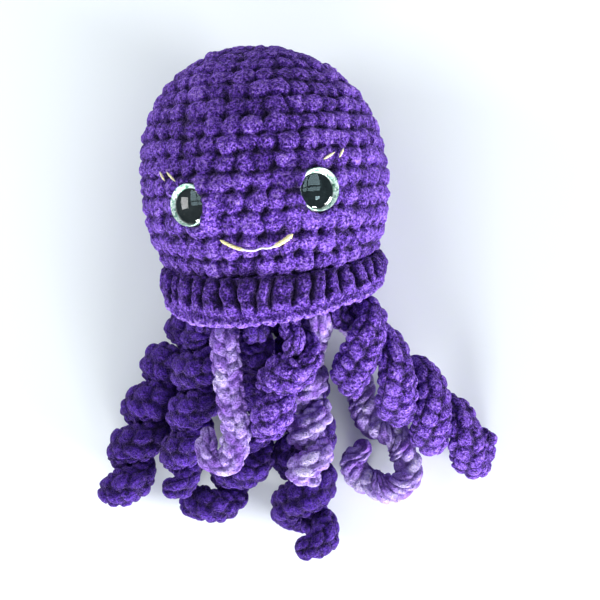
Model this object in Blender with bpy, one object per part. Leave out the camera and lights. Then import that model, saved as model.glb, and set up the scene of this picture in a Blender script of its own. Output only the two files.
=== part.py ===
"""A crocheted chenille jellyfish toy with corkscrew tentacles, lying on its back.

Metres, +Z up. The toy lies on a table at z = 0 with its face up. Its crown
points along +Y and its tentacles spread along -Y. The origin is the middle
of the flat patch on the back of the head, where it rests on the table.
"""

from math import cos, pi, radians, sin

import bmesh
import bpy
from mathutils import Matrix, Vector

MM = 0.001

# ---- driving dimensions ----------------------------------------------------

CLEARANCE = 0.3 * MM          # air between neighbouring pieces

HEAD_RADIUS = 62.5 * MM       # widest half width of the head
CROWN_HEIGHT = 66 * MM        # from the widest round up to the crown
SKIRT_DEPTH = 58 * MM         # the lower half would close this far down
BASE_LEVEL = -52 * MM         # where the lower half is cut open
CROWN_POWER = 2.15            # fullness of the upper half
CROWN_LEAN = 3 * MM           # how far the crown leans to the toy's right
SKIRT_POWER = 2.75            # fullness of the lower half
FABRIC = 6 * MM               # thickness of the crocheted fabric
HEAD_REST_HEIGHT = 57 * MM    # centre of the head above the table
HEAD_TILT = radians(5)        # the crown is raised, the narrow end dips
FACE_TURN = radians(-5)       # the face is rolled to its right-hand side
DROOP = 0.15                  # the lower rounds sag forwards by this slope
DROOP_START = -8 * MM         # rounds above this level stay square

BRIM_OUTER_RADIUS = 57.5 * MM
BRIM_INNER_RADIUS = 48 * MM
BRIM_TOP = -41 * MM
BRIM_BOTTOM = 58.5 * MM       # mean drop of the brim's edge below the centre
BRIM_WAVE = 2 * MM            # how far the edge dips and lifts again
BRIM_LOW_SIDE = radians(-30)  # where around the head the edge hangs lowest

DISC_RADIUS = 44 * MM
DISC_THICKNESS = 5.2 * MM
ROOT_RING = 38 * MM           # the tentacles are worked on this circle

EYE_SPREAD = radians(28)      # each eye, around the head from the nose line
EYE_LEVEL = {"left": -10.5 * MM, "right": -8.5 * MM}
EYE_RADIUS = 10 * MM
PUPIL_RADIUS = 7.1 * MM
POST_RADIUS = 2.9 * MM
POST_LENGTH = 15 * MM
WASHER_RADIUS = 8 * MM

MOUTH_HALF_ANGLE = radians(16)
MOUTH_END_LEVEL = -25 * MM
MOUTH_DROP = 4.8 * MM
FLOSS_RADIUS = 0.9 * MM

# each lash stitch from its inner to its outer end: angles around the face, and heights over the eye in mm
LASHES = {
    "left": [(35, 40, 11.5, 16.5), (42, 45, 12.5, 17)],
    "right": [(32, 38, 13.5, 16.5), (40, 43, 14, 18)],
}

RIBBON_THICKNESS = 8 * MM
ROOT_BEAD = 5 * MM            # round end that each tentacle turns on
ROOT_STRAIGHT = 6 * MM        # each tentacle leaves the base square to it

# Each tentacle: where it starts around the base (degrees from the front,
# positive towards +X), the hand-laid route of its middle line in mm, the
# coil's radius at the start and at the tip, its turns, the ribbon's width,
# the straight length before it coils, and the angle its coil starts at.
# "fade" is how early the coil's radius falls to the one at the tip, and
# "slant" how far the turns lean along the route.
TENTACLES = {
    "tentacle_left_outer": {
        "yarn": "plain", "start": -108,
        "route": [(-46, -77, 27), (-60, -93, 19), (-75, -117, 17.5), (-86, -140, 17), (-95, -163, 15)],
        "coil": (12.5, 9.5), "turns": 4.5, "width": 20, "lead": 16, "phase": -60,
    },
    "tentacle_left_inner": {
        "yarn": "plain", "start": -72,
        "route": [(-40, -77, 56), (-43, -93, 47), (-49, -117, 38.5), (-57, -141, 32), (-65, -156, 27)],
        "coil": (10, 8), "turns": 4, "width": 19, "lead": 10, "phase": 0,
    },
    "tentacle_middle_left": {
        "yarn": "plain", "start": -14,
        "route": [(-11, -80, 71), (-14.5, -94, 52), (-17, -118, 38), (-20, -141, 28),
                  (-36, -162, 18), (-55, -178, 15)],
        "coil": (8.2, 9.5), "turns": 5, "width": 18, "lead": 20, "phase": 180,
    },
    "tentacle_front_strip": {
        "yarn": "variegated", "start": -40,
        "route": [(-26, -80, 82), (-26.5, -105, 74), (-26, -129, 65), (-32, -144, 58),
                  (-42, -140, 55.5), (-41, -128, 53)],
        "coil": (0, 0), "turns": 0, "width": 14, "lead": 0, "phase": 0,
    },
    "tentacle_front_curl": {
        "yarn": "plain", "start": 10,
        "route": [(10, -84, 87), (7, -95, 81), (-4, -108, 73), (-7, -131, 64)],
        "coil": (7, 7), "turns": 2.4, "width": 19, "lead": 8, "phase": 60,
    },
    "tentacle_right_long": {
        "yarn": "plain", "start": 54,
        "route": [(37, -80, 64), (46, -98, 55), (65, -116, 42), (82, -136, 29),
                  (99, -150, 19), (108, -156, 17)],
        "coil": (18, 11.5), "turns": 4.1, "width": 20, "lead": 10, "phase": -200, "slant": 0.55,
    },
    "tentacle_middle_right": {
        "yarn": "variegated", "start": 32,
        "route": [(19, -79, 66), (14.5, -92, 53), (11.5, -109, 46), (12, -133, 45.5), (9, -159, 45)],
        "coil": (7.2, 7.5), "turns": 3.4, "width": 14, "lead": 44, "phase": 60,
    },
    "tentacle_right_loop": {
        "yarn": "variegated", "start": 100,
        "route": [(43, -76, 33), (42, -95, 20), (41, -116, 13), (46, -136, 11), (59, -144, 11),
                  (64, -156, 11), (60, -168, 11), (49, -172, 11), (39, -167, 11), (36, -156, 11.5), (40, -148, 13)],
        "coil": (9, 0.5), "fade": 3, "turns": 4.5, "width": 17, "lead": 12, "phase": 0,
    },
    "tentacle_back_long": {
        "yarn": "plain", "start": 172,
        "route": [(5, -80, 16.5), (8, -110, 16.5), (9, -140, 16.5), (6, -160, 17.5),
                  (5, -178, 19), (3, -197, 19)],
        "coil": (10.5, 14), "turns": 5, "width": 20, "lead": 10, "phase": 0,
    },
    "tentacle_back_short": {
        "yarn": "plain", "start": -150,
        "route": [(-20, -74, 14), (-25, -96, 13), (-29, -117, 13)],
        "coil": (7.5, 8), "turns": 2.2, "width": 17, "lead": 8, "phase": 0,
    },
}

HEAD = Matrix.Translation((0, 0, HEAD_REST_HEIGHT)) @ Matrix.Rotation(HEAD_TILT, 4, "X")
FACE = HEAD @ Matrix.Rotation(FACE_TURN, 4, "Y")


# ---- materials -------------------------------------------------------------

def material(name, colour, roughness=0.9, transmission=0.0):
    made = bpy.data.materials.new(name)
    made.use_nodes = True
    shader = made.node_tree.nodes["Principled BSDF"]
    shader.inputs["Base Color"].default_value = (*colour, 1)
    shader.inputs["Roughness"].default_value = roughness
    shader.inputs["Metallic"].default_value = 0
    shader.inputs["Transmission Weight"].default_value = transmission
    made.diffuse_color = (*colour, 1)
    return made


def make_materials():
    return {
        "plain": material("purple_chenille", (0.16, 0.06, 0.42)),
        "variegated": material("lilac_chenille", (0.56, 0.42, 0.80)),
        "floss": material("yellow_floss", (0.85, 0.76, 0.38)),
        "glitter": material("mint_glitter", (0.62, 0.82, 0.76), 0.35),
        "black": material("black_plastic", (0.01, 0.01, 0.012), 0.15),
        "clear": material("clear_plastic", (0.95, 0.97, 0.98), 0.03, 1.0),
        "washer": material("white_plastic", (0.85, 0.85, 0.83), 0.45),
        "fibre": material("polyester_fibre", (0.9, 0.9, 0.9)),
        "seam": material("purple_seam_yarn", (0.12, 0.04, 0.33)),
    }


# ---- mesh tools ------------------------------------------------------------

def add_mesh(name, points, faces, slot, origin=Vector((0, 0, 0)), smooth=True):
    """A closed mesh from world points, with the object's origin at origin."""
    data = bpy.data.meshes.new(name)
    data.from_pydata([Vector(p) - origin for p in points], [], faces)
    work = bmesh.new()
    work.from_mesh(data)
    bmesh.ops.recalc_face_normals(work, faces=work.faces)
    work.to_mesh(data)
    work.free()
    data.materials.append(slot)
    for face in data.polygons:
        face.use_smooth = smooth
    made = bpy.data.objects.new(name, data)
    made.location = origin
    bpy.context.collection.objects.link(made)
    return made


def loft(rings, closed=False):
    """Faces that join equal rings of points, capped at both ends unless closed."""
    count = len(rings[0])
    points = [p for ring in rings for p in ring]
    faces = []
    spans = len(rings) if closed else len(rings) - 1
    for i in range(spans):
        a = i * count
        b = ((i + 1) % len(rings)) * count
        for j in range(count):
            k = (j + 1) % count
            faces.append((a + j, a + k, b + k, b + j))
    if not closed:
        faces.append(tuple(range(count)))
        faces.append(tuple(range(len(points) - count, len(points))))
    return points, faces


def turned(profile, frame, steps, closed=False):
    """Rings of a profile of (radius, height) turned about the frame's Z axis."""
    rings = []
    for radius, height in profile:
        rings.append([
            frame @ Vector((radius * cos(2 * pi * j / steps), radius * sin(2 * pi * j / steps), height))
            for j in range(steps)
        ])
    return loft(rings, closed)


def cut(target, cutter):
    """Takes the cutter's shape out of the target and hides the cutter."""
    change = target.modifiers.new("cut_" + cutter.name, "BOOLEAN")
    change.operation = "DIFFERENCE"
    change.solver = "EXACT"
    change.object = cutter
    cutter.hide_render = True
    cutter.display_type = "WIRE"


# ---- the head --------------------------------------------------------------

def head_radius(level):
    """Outer radius of the head at a height along its own axis."""
    reach, power = (CROWN_HEIGHT, CROWN_POWER) if level > 0 else (SKIRT_DEPTH, SKIRT_POWER)
    return HEAD_RADIUS * max(0.0, 1 - (abs(level) / reach) ** power) ** (1 / power)


def head_profile(inset, rows=16):
    """(radius, level) from the crown to the open base, moved inwards by inset."""
    outline = []
    for i in range(1, rows + 1):
        angle = pi / 2 * i / rows
        level = CROWN_HEIGHT * cos(angle) ** (2 / CROWN_POWER)
        outline.append((head_radius(level), level))
    steps = rows // 2
    for i in range(1, steps + 1):
        level = BASE_LEVEL * (i / steps) ** 0.8
        outline.append((head_radius(level), level))
    moved = []
    for i, (radius, level) in enumerate(outline):
        before = outline[max(i - 1, 0)]
        after = outline[min(i + 1, len(outline) - 1)]
        along = Vector((after[0] - before[0], after[1] - before[1])).normalized()
        moved.append((radius + along.y * inset, level - along.x * inset))
    return moved


def ease(share):
    share = min(max(share, 0.0), 1.0)
    return share * share * (3 - 2 * share)


def settled(radius, level, angle, floor=None):
    """A world point of the head: at an angle around it from the front, with the
    sag of the lower rounds and the lean of the crown, and pressed flat where it
    would sink below floor."""
    sag = DROOP * ease((DROOP_START - level) / (DROOP_START - BASE_LEVEL))
    lean = CROWN_LEAN * max(0, level / CROWN_HEIGHT) ** 1.5
    front = radius * cos(angle)
    point = HEAD @ Vector((radius * sin(angle) - lean, level - sag * front, front))
    if floor is not None:
        point.z = max(point.z, floor)
    return point


def round_of(radius, level, floor, steps):
    return [settled(radius, level, 2 * pi * j / steps, floor) for j in range(steps)]


def dome_rings(inset, floor, base=None, steps=36):
    """Rounds of the dome from a small one at the crown to the base."""
    profile = head_profile(inset)
    crown = CROWN_HEIGHT - inset
    rings = [round_of(profile[0][0] * 0.35, crown - 0.2 * MM, floor, steps)]
    for radius, level in profile:
        if base is None or level > base:
            rings.append(round_of(radius, level, floor, steps))
    if base is not None:
        rings.append(round_of(profile[-1][0], base, floor, steps))
    return rings


def build_head_cover(slots, eye_frames):
    outer = dome_rings(0, 0)
    inner = dome_rings(FABRIC, FABRIC, base=BASE_LEVEL)
    points, faces = loft(outer + inner[::-1])
    cover = add_mesh("head_cover", points, faces, slots["plain"])
    for side, frame in eye_frames.items():
        profile = [(POST_RADIUS + 0.6 * MM, 4 * MM), (POST_RADIUS + 0.6 * MM, -2.5 * FABRIC)]
        hole = add_mesh("post_hole_" + side, *turned(profile, frame, 12), slots["plain"])
        cut(cover, hole)


def build_stuffing(slots, eye_frames):
    gap = FABRIC + 1.3 * MM
    rings = dome_rings(gap, gap, base=BASE_LEVEL + 0.2 * MM, steps=24)
    stuffing = add_mesh("fibre_stuffing", *loft(rings), slots["fibre"])
    for side, frame in eye_frames.items():
        reach = POST_LENGTH + 1.5 * MM
        profile = [(WASHER_RADIUS + 0.8 * MM, 0), (WASHER_RADIUS + 0.8 * MM, -reach)]
        pocket = add_mesh("washer_pocket_" + side, *turned(profile, frame, 16), slots["fibre"])
        cut(stuffing, pocket)


def build_base(slots):
    top = BASE_LEVEL - CLEARANCE
    round_off = 1.5 * MM
    disc = [
        (6 * MM, top),
        (DISC_RADIUS - round_off, top),
        (DISC_RADIUS, top - round_off),
        (DISC_RADIUS, top - DISC_THICKNESS + round_off),
        (DISC_RADIUS - round_off, top - DISC_THICKNESS),
        (6 * MM, top - DISC_THICKNESS),
    ]
    rings = [round_of(radius, level, None, 36) for radius, level in disc]
    add_mesh("base_disc", *loft(rings), slots["plain"])
    seam_radius, yarn = 45.8 * MM, 1 * MM
    ring = [
        (seam_radius + yarn * cos(a), BASE_LEVEL + 1.2 * MM + yarn * sin(a))
        for a in [2 * pi * k / 6 for k in range(6)]
    ]
    rings = [round_of(radius, level, None, 32) for radius, level in ring]
    add_mesh("closing_yarn", *loft(rings, closed=True), slots["seam"])


def brim_edge(angle):
    """Level of the brim's lower edge, deepest on its low side."""
    around = angle - BRIM_LOW_SIDE
    return -(BRIM_BOTTOM + BRIM_WAVE * (cos(around) + 0.6 * cos(2 * around)))


def build_brim(slots, steps=48):
    rings = []
    for j in range(steps):
        angle = 2 * pi * j / steps
        edge = brim_edge(angle)
        section = [
            (52.9 * MM, BRIM_TOP, 1.4 * MM),
            (54.5 * MM, BRIM_TOP + 0.2 * MM, 0),
            (56.8 * MM, BRIM_TOP - 4 * MM, 0),
            (BRIM_OUTER_RADIUS, (BRIM_TOP + edge) / 2, 0),
            (56.5 * MM, edge + 2.5 * MM, 0),
            (54 * MM, edge, 0),
            (51.5 * MM, edge, 1.6 * MM),
            (BRIM_INNER_RADIUS, edge + 2.5 * MM, 1.6 * MM),
            (BRIM_INNER_RADIUS + 0.4 * MM, -50 * MM, 1.6 * MM),
            (50.8 * MM, -45.5 * MM, 1.6 * MM),
        ]
        rings.append([settled(radius, level, angle, floor) for radius, level, floor in section])
    add_mesh("brim_ruffle", *loft(rings, closed=True), slots["plain"])


# ---- the face --------------------------------------------------------------

def eye_frame(side):
    """Frame of an eye: Z points out of the head, from just above the fabric."""
    angle = EYE_SPREAD if side == "right" else -EYE_SPREAD
    level = EYE_LEVEL[side]
    seat = head_radius(level) + CLEARANCE
    return FACE @ Matrix.Rotation(angle, 4, "Y") @ Matrix.Translation((0, level, seat))


def build_eye(side, frame, slots):
    flange_top = 1.1 * MM
    shank = [(EYE_RADIUS + 0.4 * MM, 0.1 * MM), (EYE_RADIUS + 0.4 * MM, flange_top), (1 * MM, flange_top)]
    ribs = 5
    lower = []
    for i in range(ribs):
        z = -POST_LENGTH + 2.4 * MM * i
        lower += [(POST_RADIUS - 0.4 * MM, z), (POST_RADIUS, z + 0.5 * MM), (POST_RADIUS, z + 1 * MM)]
    lower += [(POST_RADIUS, 0.1 * MM)]
    back = [(1 * MM, -POST_LENGTH - 0.3 * MM)] + lower + shank
    add_mesh("eye_back_" + side, *turned(back, frame, 14), slots["black"])

    iris = [
        (PUPIL_RADIUS + 0.3 * MM, flange_top + 0.1 * MM),
        (EYE_RADIUS - 0.1 * MM, flange_top + 0.1 * MM),
        (EYE_RADIUS - 0.1 * MM, flange_top + 0.9 * MM),
        (PUPIL_RADIUS + 0.3 * MM, flange_top + 0.9 * MM),
    ]
    add_mesh("eye_iris_" + side, *turned(iris, frame, 28, closed=True), slots["glitter"])

    pupil_base = flange_top + 0.1 * MM
    pupil_height = 3.6 * MM
    dome = [(PUPIL_RADIUS * cos(a), pupil_base + 0.9 * MM + (pupil_height - 0.9 * MM) * sin(a))
            for a in [pi / 2 * i / 5 for i in range(5)]]
    pupil = [(PUPIL_RADIUS, pupil_base)] + dome + [(0.8 * MM, pupil_base + pupil_height)]
    add_mesh("eye_pupil_" + side, *turned(pupil, frame, 28), slots["black"])

    lens_base = flange_top + 1 * MM
    lens_height = 5.2 * MM
    outer = [(EYE_RADIUS * cos(a), lens_base + 0.5 * MM + (lens_height - 0.5 * MM) * sin(a))
             for a in [pi / 2 * i / 6 for i in range(6)]]
    inner = [((PUPIL_RADIUS + 0.2 * MM) * cos(a), lens_base + (pupil_height - 0.6 * MM) * sin(a))
             for a in [pi / 2 * i / 5 for i in range(5)]]
    lens = [(0.9 * MM, lens_base + pupil_height - 0.6 * MM)] + inner[::-1]
    lens += [(EYE_RADIUS, lens_base)] + outer + [(0.8 * MM, lens_base + lens_height)]
    add_mesh("eye_lens_" + side, *turned(lens, frame, 20), slots["clear"])

    washer_top = -FABRIC - 1.6 * MM
    washer = [
        (POST_RADIUS + 0.3 * MM, washer_top),
        (WASHER_RADIUS, washer_top),
        (WASHER_RADIUS, washer_top - 1.2 * MM),
        (WASHER_RADIUS * 0.6, washer_top - 2 * MM),
        (POST_RADIUS + 0.3 * MM, washer_top - 2 * MM),
    ]
    add_mesh("eye_washer_" + side, *turned(washer, frame, 20, closed=True), slots["washer"])


def on_face(angle, level, lift):
    """A point above the fabric, at an angle around the head from the nose line."""
    return settled(head_radius(level) + lift, level, angle + FACE_TURN)


def thread(name, points, radius, slot):
    """A round thread through the points, as a bevelled curve with filled ends."""
    data = bpy.data.curves.new(name, "CURVE")
    data.dimensions = "3D"
    data.bevel_depth = radius
    data.bevel_resolution = 1
    data.render_resolution_u = 0
    data.use_fill_caps = True
    line = data.splines.new("POLY")
    line.points.add(len(points) - 1)
    for spot, place in zip(line.points, points):
        spot.co = (*place, 1)
    data.materials.append(slot)
    made = bpy.data.objects.new(name, data)
    bpy.context.collection.objects.link(made)


def build_mouth(slots, steps=22):
    lift = FLOSS_RADIUS + CLEARANCE + 0.15 * MM
    points = []
    for i in range(steps + 1):
        share = 2 * i / steps - 1
        level = MOUTH_END_LEVEL - MOUTH_DROP * (1 - share ** 2)
        points.append(on_face(MOUTH_HALF_ANGLE * share, level, lift))
    thread("mouth_floss", points, FLOSS_RADIUS, slots["floss"])


def build_lashes(slots):
    """Two short stitches above and outside each eye."""
    lift = FLOSS_RADIUS + CLEARANCE + 0.1 * MM
    for side, sign in (("left", -1), ("right", 1)):
        for number, (near, far, low, high) in enumerate(LASHES[side], 1):
            points = []
            for i in range(5):
                share = i / 4
                level = EYE_LEVEL[side] + (low + (high - low) * share) * MM
                angle = radians(near + (far - near) * share)
                points.append(on_face(sign * angle, level, lift))
            thread(f"lash_{side}_{number}", points, 0.8 * MM, slots["floss"])


# ---- the tentacles ---------------------------------------------------------

def root_point(angle_degrees, drop=ROOT_BEAD + CLEARANCE):
    """A point of the root ring, drop below the underside of the base disc."""
    angle = radians(angle_degrees)
    return settled(ROOT_RING, BASE_LEVEL - CLEARANCE - DISC_THICKNESS - drop, angle)


def smooth_route(places, per_span=24):
    """A curve through the places, as closely spaced points (Catmull-Rom)."""
    ends = [places[0] * 2 - places[1], *places, places[-1] * 2 - places[-2]]
    line = []
    for a, b, c, d in zip(ends, ends[1:], ends[2:], ends[3:]):
        for k in range(per_span):
            t = k / per_span
            line.append(0.5 * (
                2 * b + (c - a) * t
                + (2 * a - 5 * b + 4 * c - d) * t ** 2
                + (3 * b - a - 3 * c + d) * t ** 3
            ))
    line.append(places[-1])
    return line


def evenly(line, count):
    """count points at equal distances along the line, and the line's length."""
    runs = [0.0]
    for a, b in zip(line, line[1:]):
        runs.append(runs[-1] + (b - a).length)
    spaced, i = [], 0
    for k in range(count):
        want = runs[-1] * k / (count - 1)
        while i < len(runs) - 2 and runs[i + 1] < want:
            i += 1
        share = (want - runs[i]) / (runs[i + 1] - runs[i])
        spaced.append(line[i].lerp(line[i + 1], share))
    return spaced, runs[-1]


def coil_line(plan, count):
    """The ribbon's middle line and its outward direction, at count stations."""
    start = plan["start"]
    places = [root_point(start), root_point(start, ROOT_BEAD + ROOT_STRAIGHT)]
    places += [Vector(p) * MM for p in plan["route"]]
    axis, length = evenly(smooth_route(places), count)
    lead = plan["lead"] * MM
    first, last = plan["coil"]
    side = Vector((0, 0, 1))
    middle, outward = [], []
    for i, place in enumerate(axis):
        along = (axis[min(i + 1, count - 1)] - axis[max(i - 1, 0)]).normalized()
        side = (side - along * side.dot(along)).normalized()
        other = along.cross(side)
        run = length * i / (count - 1)
        share = max(0.0, (run - lead) / (length - lead))
        angle = radians(plan["phase"]) + 2 * pi * plan["turns"] * share
        out = side * cos(angle) + other * sin(angle)
        radius = last + (first - last) * (1 - share) ** plan.get("fade", 1)
        radius = radius * ease((run - lead) / (14 * MM)) * MM
        middle.append(place + out * radius + along * (plan.get("slant", 0) * radius * sin(angle)))
        outward.append(out)
    return middle, outward


def oval(centre, across, out, wide, thick, corners):
    """A ring of points around an oval section."""
    ring = []
    for j in range(corners):
        angle = 2 * pi * (j + 0.5) / corners
        ring.append(centre + across * (wide * cos(angle)) + out * (thick * sin(angle)))
    return ring


def ribbon_rings(plan, count, corners=8):
    """Sections of the ribbon: a round root end, flat ovals, and a narrow tip."""
    middle, outward = coil_line(plan, count)
    rings = []
    back = HEAD.to_3x3() @ Vector((0, 1, 0))
    out = (outward[0] - back * outward[0].dot(back)).normalized()
    across = out.cross(back)
    for k in (1, 2, 3, 4):
        angle = pi / 2 * k / 4
        centre = middle[0] + back * (ROOT_BEAD * cos(angle))
        rings.append(oval(centre, across, out, ROOT_BEAD * sin(angle), ROOT_BEAD * sin(angle), corners))
    for i in range(1, count):
        place, out = middle[i], outward[i]
        along = (middle[min(i + 1, count - 1)] - middle[i - 1]).normalized()
        out = (out - along * out.dot(along)).normalized()
        across = along.cross(out)
        share = i / (count - 1)
        spread = ease(share / 0.14)
        tip = 0.6 + 0.4 * ease((1 - share) / 0.05)
        wide = (ROOT_BEAD + (plan["width"] * MM / 2 - ROOT_BEAD) * spread) * tip
        thick = (ROOT_BEAD + (RIBBON_THICKNESS / 2 - ROOT_BEAD) * spread) * (0.4 + 0.6 * tip)
        rings.append(oval(place, across, out, wide, thick, corners))
    return rings


def build_tentacles(slots):
    for name, plan in TENTACLES.items():
        count = 16 + int(10.5 * plan["turns"])
        points, faces = loft(ribbon_rings(plan, count))
        add_mesh(name, points, faces, slots[plan["yarn"]], origin=root_point(plan["start"]))


def main():
    for old in list(bpy.data.objects):
        bpy.data.objects.remove(old, do_unlink=True)
    slots = make_materials()
    eye_frames = {side: eye_frame(side) for side in EYE_LEVEL}
    build_head_cover(slots, eye_frames)
    build_stuffing(slots, eye_frames)
    build_base(slots)
    build_brim(slots)
    for side, frame in eye_frames.items():
        build_eye(side, frame, slots)
    build_mouth(slots)
    build_lashes(slots)
    build_tentacles(slots)


main()
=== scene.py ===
"""The looks of a crocheted chenille jellyfish toy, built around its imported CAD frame.

Every yarn surface is a fine mesh with its stitches in relief: rounds of single
crochet on the head, upright ribs on the brim, and a braid of stitches along
each corkscrew tentacle. All lengths are in metres, in the CAD's own frame.
"""

from math import cos, pi, radians, sin

import bpy
import numpy as np
from mathutils import Matrix, Vector


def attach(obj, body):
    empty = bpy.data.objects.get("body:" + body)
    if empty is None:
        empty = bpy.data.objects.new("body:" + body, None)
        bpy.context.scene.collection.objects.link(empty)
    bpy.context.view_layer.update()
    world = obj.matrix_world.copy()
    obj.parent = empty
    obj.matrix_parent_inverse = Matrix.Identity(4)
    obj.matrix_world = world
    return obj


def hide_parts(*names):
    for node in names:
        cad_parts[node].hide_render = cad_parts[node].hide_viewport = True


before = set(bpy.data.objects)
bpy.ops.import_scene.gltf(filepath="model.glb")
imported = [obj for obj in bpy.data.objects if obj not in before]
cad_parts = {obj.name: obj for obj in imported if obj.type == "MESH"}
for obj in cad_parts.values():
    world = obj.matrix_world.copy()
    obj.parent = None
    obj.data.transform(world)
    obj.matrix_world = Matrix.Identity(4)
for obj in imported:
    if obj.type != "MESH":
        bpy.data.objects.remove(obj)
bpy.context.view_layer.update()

MM = 0.001

# ---- the toy's driving dimensions, as in the CAD source --------------------

CLEARANCE = 0.3 * MM
HEAD_RADIUS = 62.5 * MM
CROWN_HEIGHT = 66 * MM
SKIRT_DEPTH = 58 * MM
BASE_LEVEL = -52 * MM
CROWN_POWER = 2.15
CROWN_LEAN = 3 * MM
SKIRT_POWER = 2.75
FABRIC = 6 * MM
HEAD_REST_HEIGHT = 57 * MM
HEAD_TILT = radians(5)
FACE_TURN = radians(-5)
DROOP = 0.15
DROOP_START = -8 * MM

BRIM_OUTER_RADIUS = 57.5 * MM
BRIM_INNER_RADIUS = 48 * MM
BRIM_TOP = -41 * MM
BRIM_BOTTOM = 58.5 * MM
BRIM_WAVE = 2 * MM
BRIM_LOW_SIDE = radians(-30)

DISC_RADIUS = 44 * MM
DISC_THICKNESS = 5.2 * MM
ROOT_RING = 38 * MM

EYE_SPREAD = radians(28)
EYE_LEVEL = {"left": -10.5 * MM, "right": -8.5 * MM}
EYE_RADIUS = 10 * MM
PUPIL_RADIUS = 7.1 * MM
POST_RADIUS = 2.9 * MM
POST_LENGTH = 15 * MM
WASHER_RADIUS = 8 * MM

MOUTH_HALF_ANGLE = radians(16)
MOUTH_END_LEVEL = -25 * MM
MOUTH_DROP = 4.8 * MM
FLOSS_RADIUS = 0.9 * MM
LASHES = {
    "left": [(35, 40, 11.5, 16.5), (42, 45, 12.5, 17)],
    "right": [(32, 38, 13.5, 16.5), (40, 43, 14, 18)],
}

RIBBON_THICKNESS = 8 * MM
ROOT_BEAD = 5 * MM            # round end that each tentacle turns on
ROOT_STRAIGHT = 6 * MM        # each tentacle leaves the base square to it

# Each tentacle: where it starts around the base (degrees from the front), the
# route of its middle line in mm, the coil's radius at the start and at the tip,
# its turns, the ribbon's width, the straight length before it coils, and the
# angle its coil starts at. "fade" is how early the coil's radius falls to the
# one at the tip, and "slant" how far the turns lean along the route.
TENTACLES = {
    "tentacle_left_outer": {
        "yarn": "plain", "start": -108,
        "route": [(-46, -77, 27), (-60, -93, 19), (-75, -117, 17.5), (-86, -140, 17),
                  (-95, -163, 15)],
        "coil": (12.5, 9.5), "turns": 4.5, "width": 20, "lead": 16, "phase": -60,
    },
    "tentacle_left_inner": {
        "yarn": "plain", "start": -72,
        "route": [(-40, -77, 56), (-43, -93, 47), (-49, -117, 38.5), (-57, -141, 32),
                  (-65, -156, 27)],
        "coil": (10, 8), "turns": 4, "width": 19, "lead": 10, "phase": 0,
    },
    "tentacle_middle_left": {
        "yarn": "plain", "start": -14,
        "route": [(-11, -80, 71), (-14.5, -94, 52), (-17, -118, 38), (-20, -141, 28),
                  (-36, -162, 18), (-55, -178, 15)],
        "coil": (8.2, 9.5), "turns": 5, "width": 18, "lead": 20, "phase": 180,
    },
    "tentacle_front_strip": {
        "yarn": "variegated", "start": -40,
        "route": [(-26, -80, 82), (-26.5, -105, 74), (-26, -129, 65), (-32, -144, 58),
                  (-42, -140, 55.5), (-41, -128, 53)],
        "coil": (0, 0), "turns": 0, "width": 14, "lead": 0, "phase": 0,
    },
    "tentacle_front_curl": {
        "yarn": "plain", "start": 10,
        "route": [(10, -84, 87), (7, -95, 81), (-4, -108, 73), (-7, -131, 64)],
        "coil": (7, 7), "turns": 2.4, "width": 19, "lead": 8, "phase": 60,
    },
    "tentacle_right_long": {
        "yarn": "plain", "start": 54,
        "route": [(37, -80, 64), (46, -98, 55), (65, -116, 42), (82, -136, 29),
                  (99, -150, 19), (108, -156, 17)],
        "coil": (18, 11.5), "turns": 4.1, "width": 20, "lead": 10, "phase": -200, "slant": 0.55,
    },
    "tentacle_middle_right": {
        "yarn": "variegated", "start": 32,
        "route": [(19, -79, 66), (14.5, -92, 53), (11.5, -109, 46), (12, -133, 45.5),
                  (9, -159, 45)],
        "coil": (7.2, 7.5), "turns": 3.4, "width": 14, "lead": 44, "phase": 60,
    },
    "tentacle_right_loop": {
        "yarn": "variegated", "start": 100,
        "route": [(43, -76, 33), (42, -95, 20), (41, -116, 13), (46, -136, 11), (59, -144, 11),
                  (64, -156, 11), (60, -168, 11), (49, -172, 11), (39, -167, 11),
                  (36, -156, 11.5), (40, -148, 13)],
        "coil": (9, 0.5), "fade": 3, "turns": 4.5, "width": 17, "lead": 12, "phase": 0,
    },
    "tentacle_back_long": {
        "yarn": "plain", "start": 172,
        "route": [(5, -80, 16.5), (8, -110, 16.5), (9, -140, 16.5), (6, -160, 17.5),
                  (5, -178, 19), (3, -197, 19)],
        "coil": (10.5, 14), "turns": 5, "width": 20, "lead": 10, "phase": 0,
    },
    "tentacle_back_short": {
        "yarn": "plain", "start": -150,
        "route": [(-20, -74, 14), (-25, -96, 13), (-29, -117, 13)],
        "coil": (7.5, 8), "turns": 2.2, "width": 17, "lead": 8, "phase": 0,
    },
}

# the plain tentacles in front; the others take a darker, softer copy of the violet, painted shade for
# the tentacles lying low and behind
NEAR_TENTACLES = {"tentacle_front_curl", "tentacle_right_long"}

HEAD = Matrix.Translation((0, 0, HEAD_REST_HEIGHT)) @ Matrix.Rotation(HEAD_TILT, 4, "X")
HEAD_UP = np.array(HEAD.to_3x3() @ Vector((0, 1, 0)))
FACE = HEAD @ Matrix.Rotation(FACE_TURN, 4, "Y")

# ---- the yarn's gauge ------------------------------------------------------

ROUNDS = 18                   # rounds of stitches from the crown to the base
STITCH_WIDTH = 9.7 * MM
EQUATOR_STITCHES = 40
STITCH_DRIFT = 0.3            # each round starts this share of a stitch further on
RIBS = 40                     # upright ribs around the brim
RIB_GAP = 1.4 * MM            # half the width of the groove between ribs
SCALLOPS = 50                 # lumps along the brim's rolled edge
BRAID_PITCH = 8 * MM          # one stitch along a tentacle
BRAID_COLUMNS = 6             # stitches around a tentacle's section
BRAID_WIDTH = 8 * MM          # one stitch across a tentacle
DISC_ROUND = 9 * MM           # a round of stitches on the base
ROW_GAP = 1.1 * MM            # half the width of the groove between rows, and
COLUMN_GAP = 0.9 * MM         # of the one between stitches

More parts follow.
